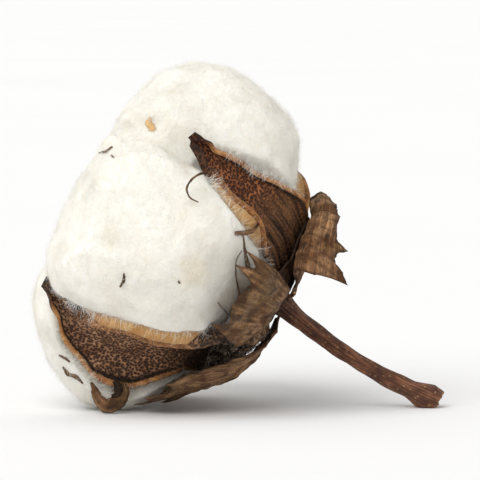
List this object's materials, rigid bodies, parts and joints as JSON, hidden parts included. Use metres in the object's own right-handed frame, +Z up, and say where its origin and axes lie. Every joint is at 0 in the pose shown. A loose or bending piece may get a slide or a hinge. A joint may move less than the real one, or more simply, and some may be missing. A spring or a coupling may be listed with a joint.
{
  "type": "open cotton boll",
  "caption": "Open cotton boll on its own stalk, lying as picked: white locks of lint between dry split capsule valves with curled lips, toothed bracts behind.",
  "frame": {"origin": "centre of the small flat spot under the lowest lock of lint, on which the boll rests", "axes": "+Z up from the surface the boll lies on; +X towards the stalk's end; the mouth of the boll faces -X and 32 degrees upward; -Y is the side seen in the picture"},
  "size_m": [0.0785, 0.0632, 0.0665],
  "materials": {
    "lint": "loose matt fibre, warm white",
    "valve": "dry, matt, speckled dark brown",
    "lining": "smooth, satin, golden tan",
    "bract": "dry crumpled leaf, matt brown",
    "calyx": "dry, matt brown",
    "stalk": "dry bark, reddish brown, slightly satin"
  },
  "bodies": {
    "root": {"bract_front": "bract", "bract_lower": "bract", "bract_upper": "bract", "calyx": "calyx", "lining_lower_back": "lining", "lining_lower_front": "lining", "lining_upper_back": "lining", "lining_upper_front": "lining", "lock_back": "lint", "lock_bottom": "lint", "lock_front": "lint", "lock_top": "lint", "stalk": "stalk", "valve_lower_back": "valve", "valve_lower_front": "valve", "valve_upper_back": "valve", "valve_upper_front": "valve"}
  },
  "joints": []
}
